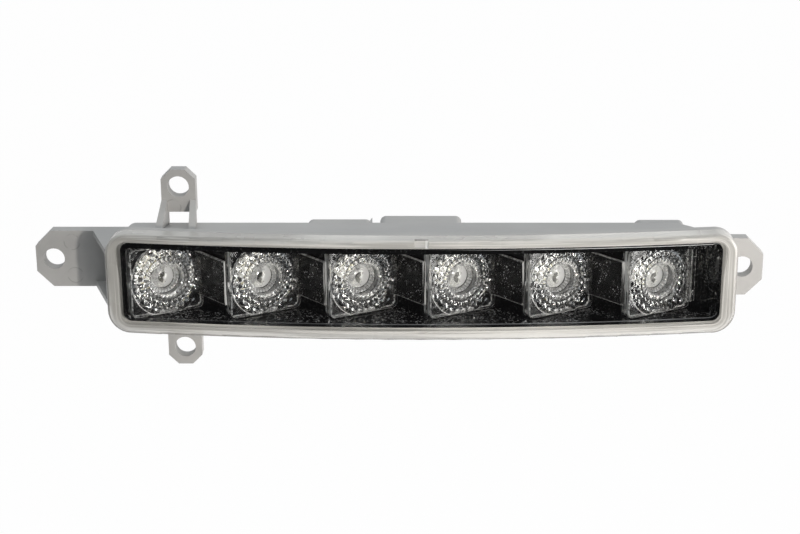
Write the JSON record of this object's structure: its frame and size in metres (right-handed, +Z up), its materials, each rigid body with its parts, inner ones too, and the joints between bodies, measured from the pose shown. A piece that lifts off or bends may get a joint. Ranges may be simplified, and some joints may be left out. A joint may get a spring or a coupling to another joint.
{
  "type": "daytime running light",
  "caption": "Slim car daytime running light: curved clear lens over a black bezel with tilted square optics, grey housing with fixing tabs and a rear connector socket.",
  "frame": {"origin": "centre of the outboard tab's screw hole, on the tab's front face", "axes": "+X along the lamp from the outboard tab to the far tab, +Y to the back of the lamp, +Z up"},
  "size_m": [0.2385, 0.0614, 0.0675],
  "materials": {
    "housing_grey": "light grey moulded polypropylene, fine satin",
    "clear_lens": "clear moulded polycarbonate, hard coated",
    "bezel_black": "polished black moulding",
    "clear_optic": "optically clear acrylic",
    "sink_aluminium": "mill finish sheet",
    "strip_white": "white solder mask",
    "led_body": "white package with yellow phosphor",
    "screw_steel": "zinc plated",
    "board_green": "green solder mask",
    "chip_black": "moulded epoxy",
    "choke_grey": "ferrite",
    "capacitor_can": "plain can",
    "resistor_black": "coated ceramic",
    "pin_tin": "tin plated",
    "membrane_white": "porous film"
  },
  "bodies": {
    "root": {"housing": "housing_grey", "outer_lens": "clear_lens", "bezel": "bezel_black", "collimator_bar": "clear_optic", "heat_sink": "sink_aluminium", "flex_circuit": "strip_white", "heat_sink_screws": "screw_steel", "driver_board": "board_green", "board_screws": "screw_steel", "driver_chip": "chip_black", "choke": "choke_grey", "diode": "chip_black", "resistors": "resistor_black", "capacitor": "capacitor_can", "connector_pins": "pin_tin", "breather_membrane": "membrane_white", "led_1": "led_body", "led_2": "led_body", "led_3": "led_body", "led_4": "led_body", "led_5": "led_body", "led_6": "led_body"}
  },
  "joints": []
}
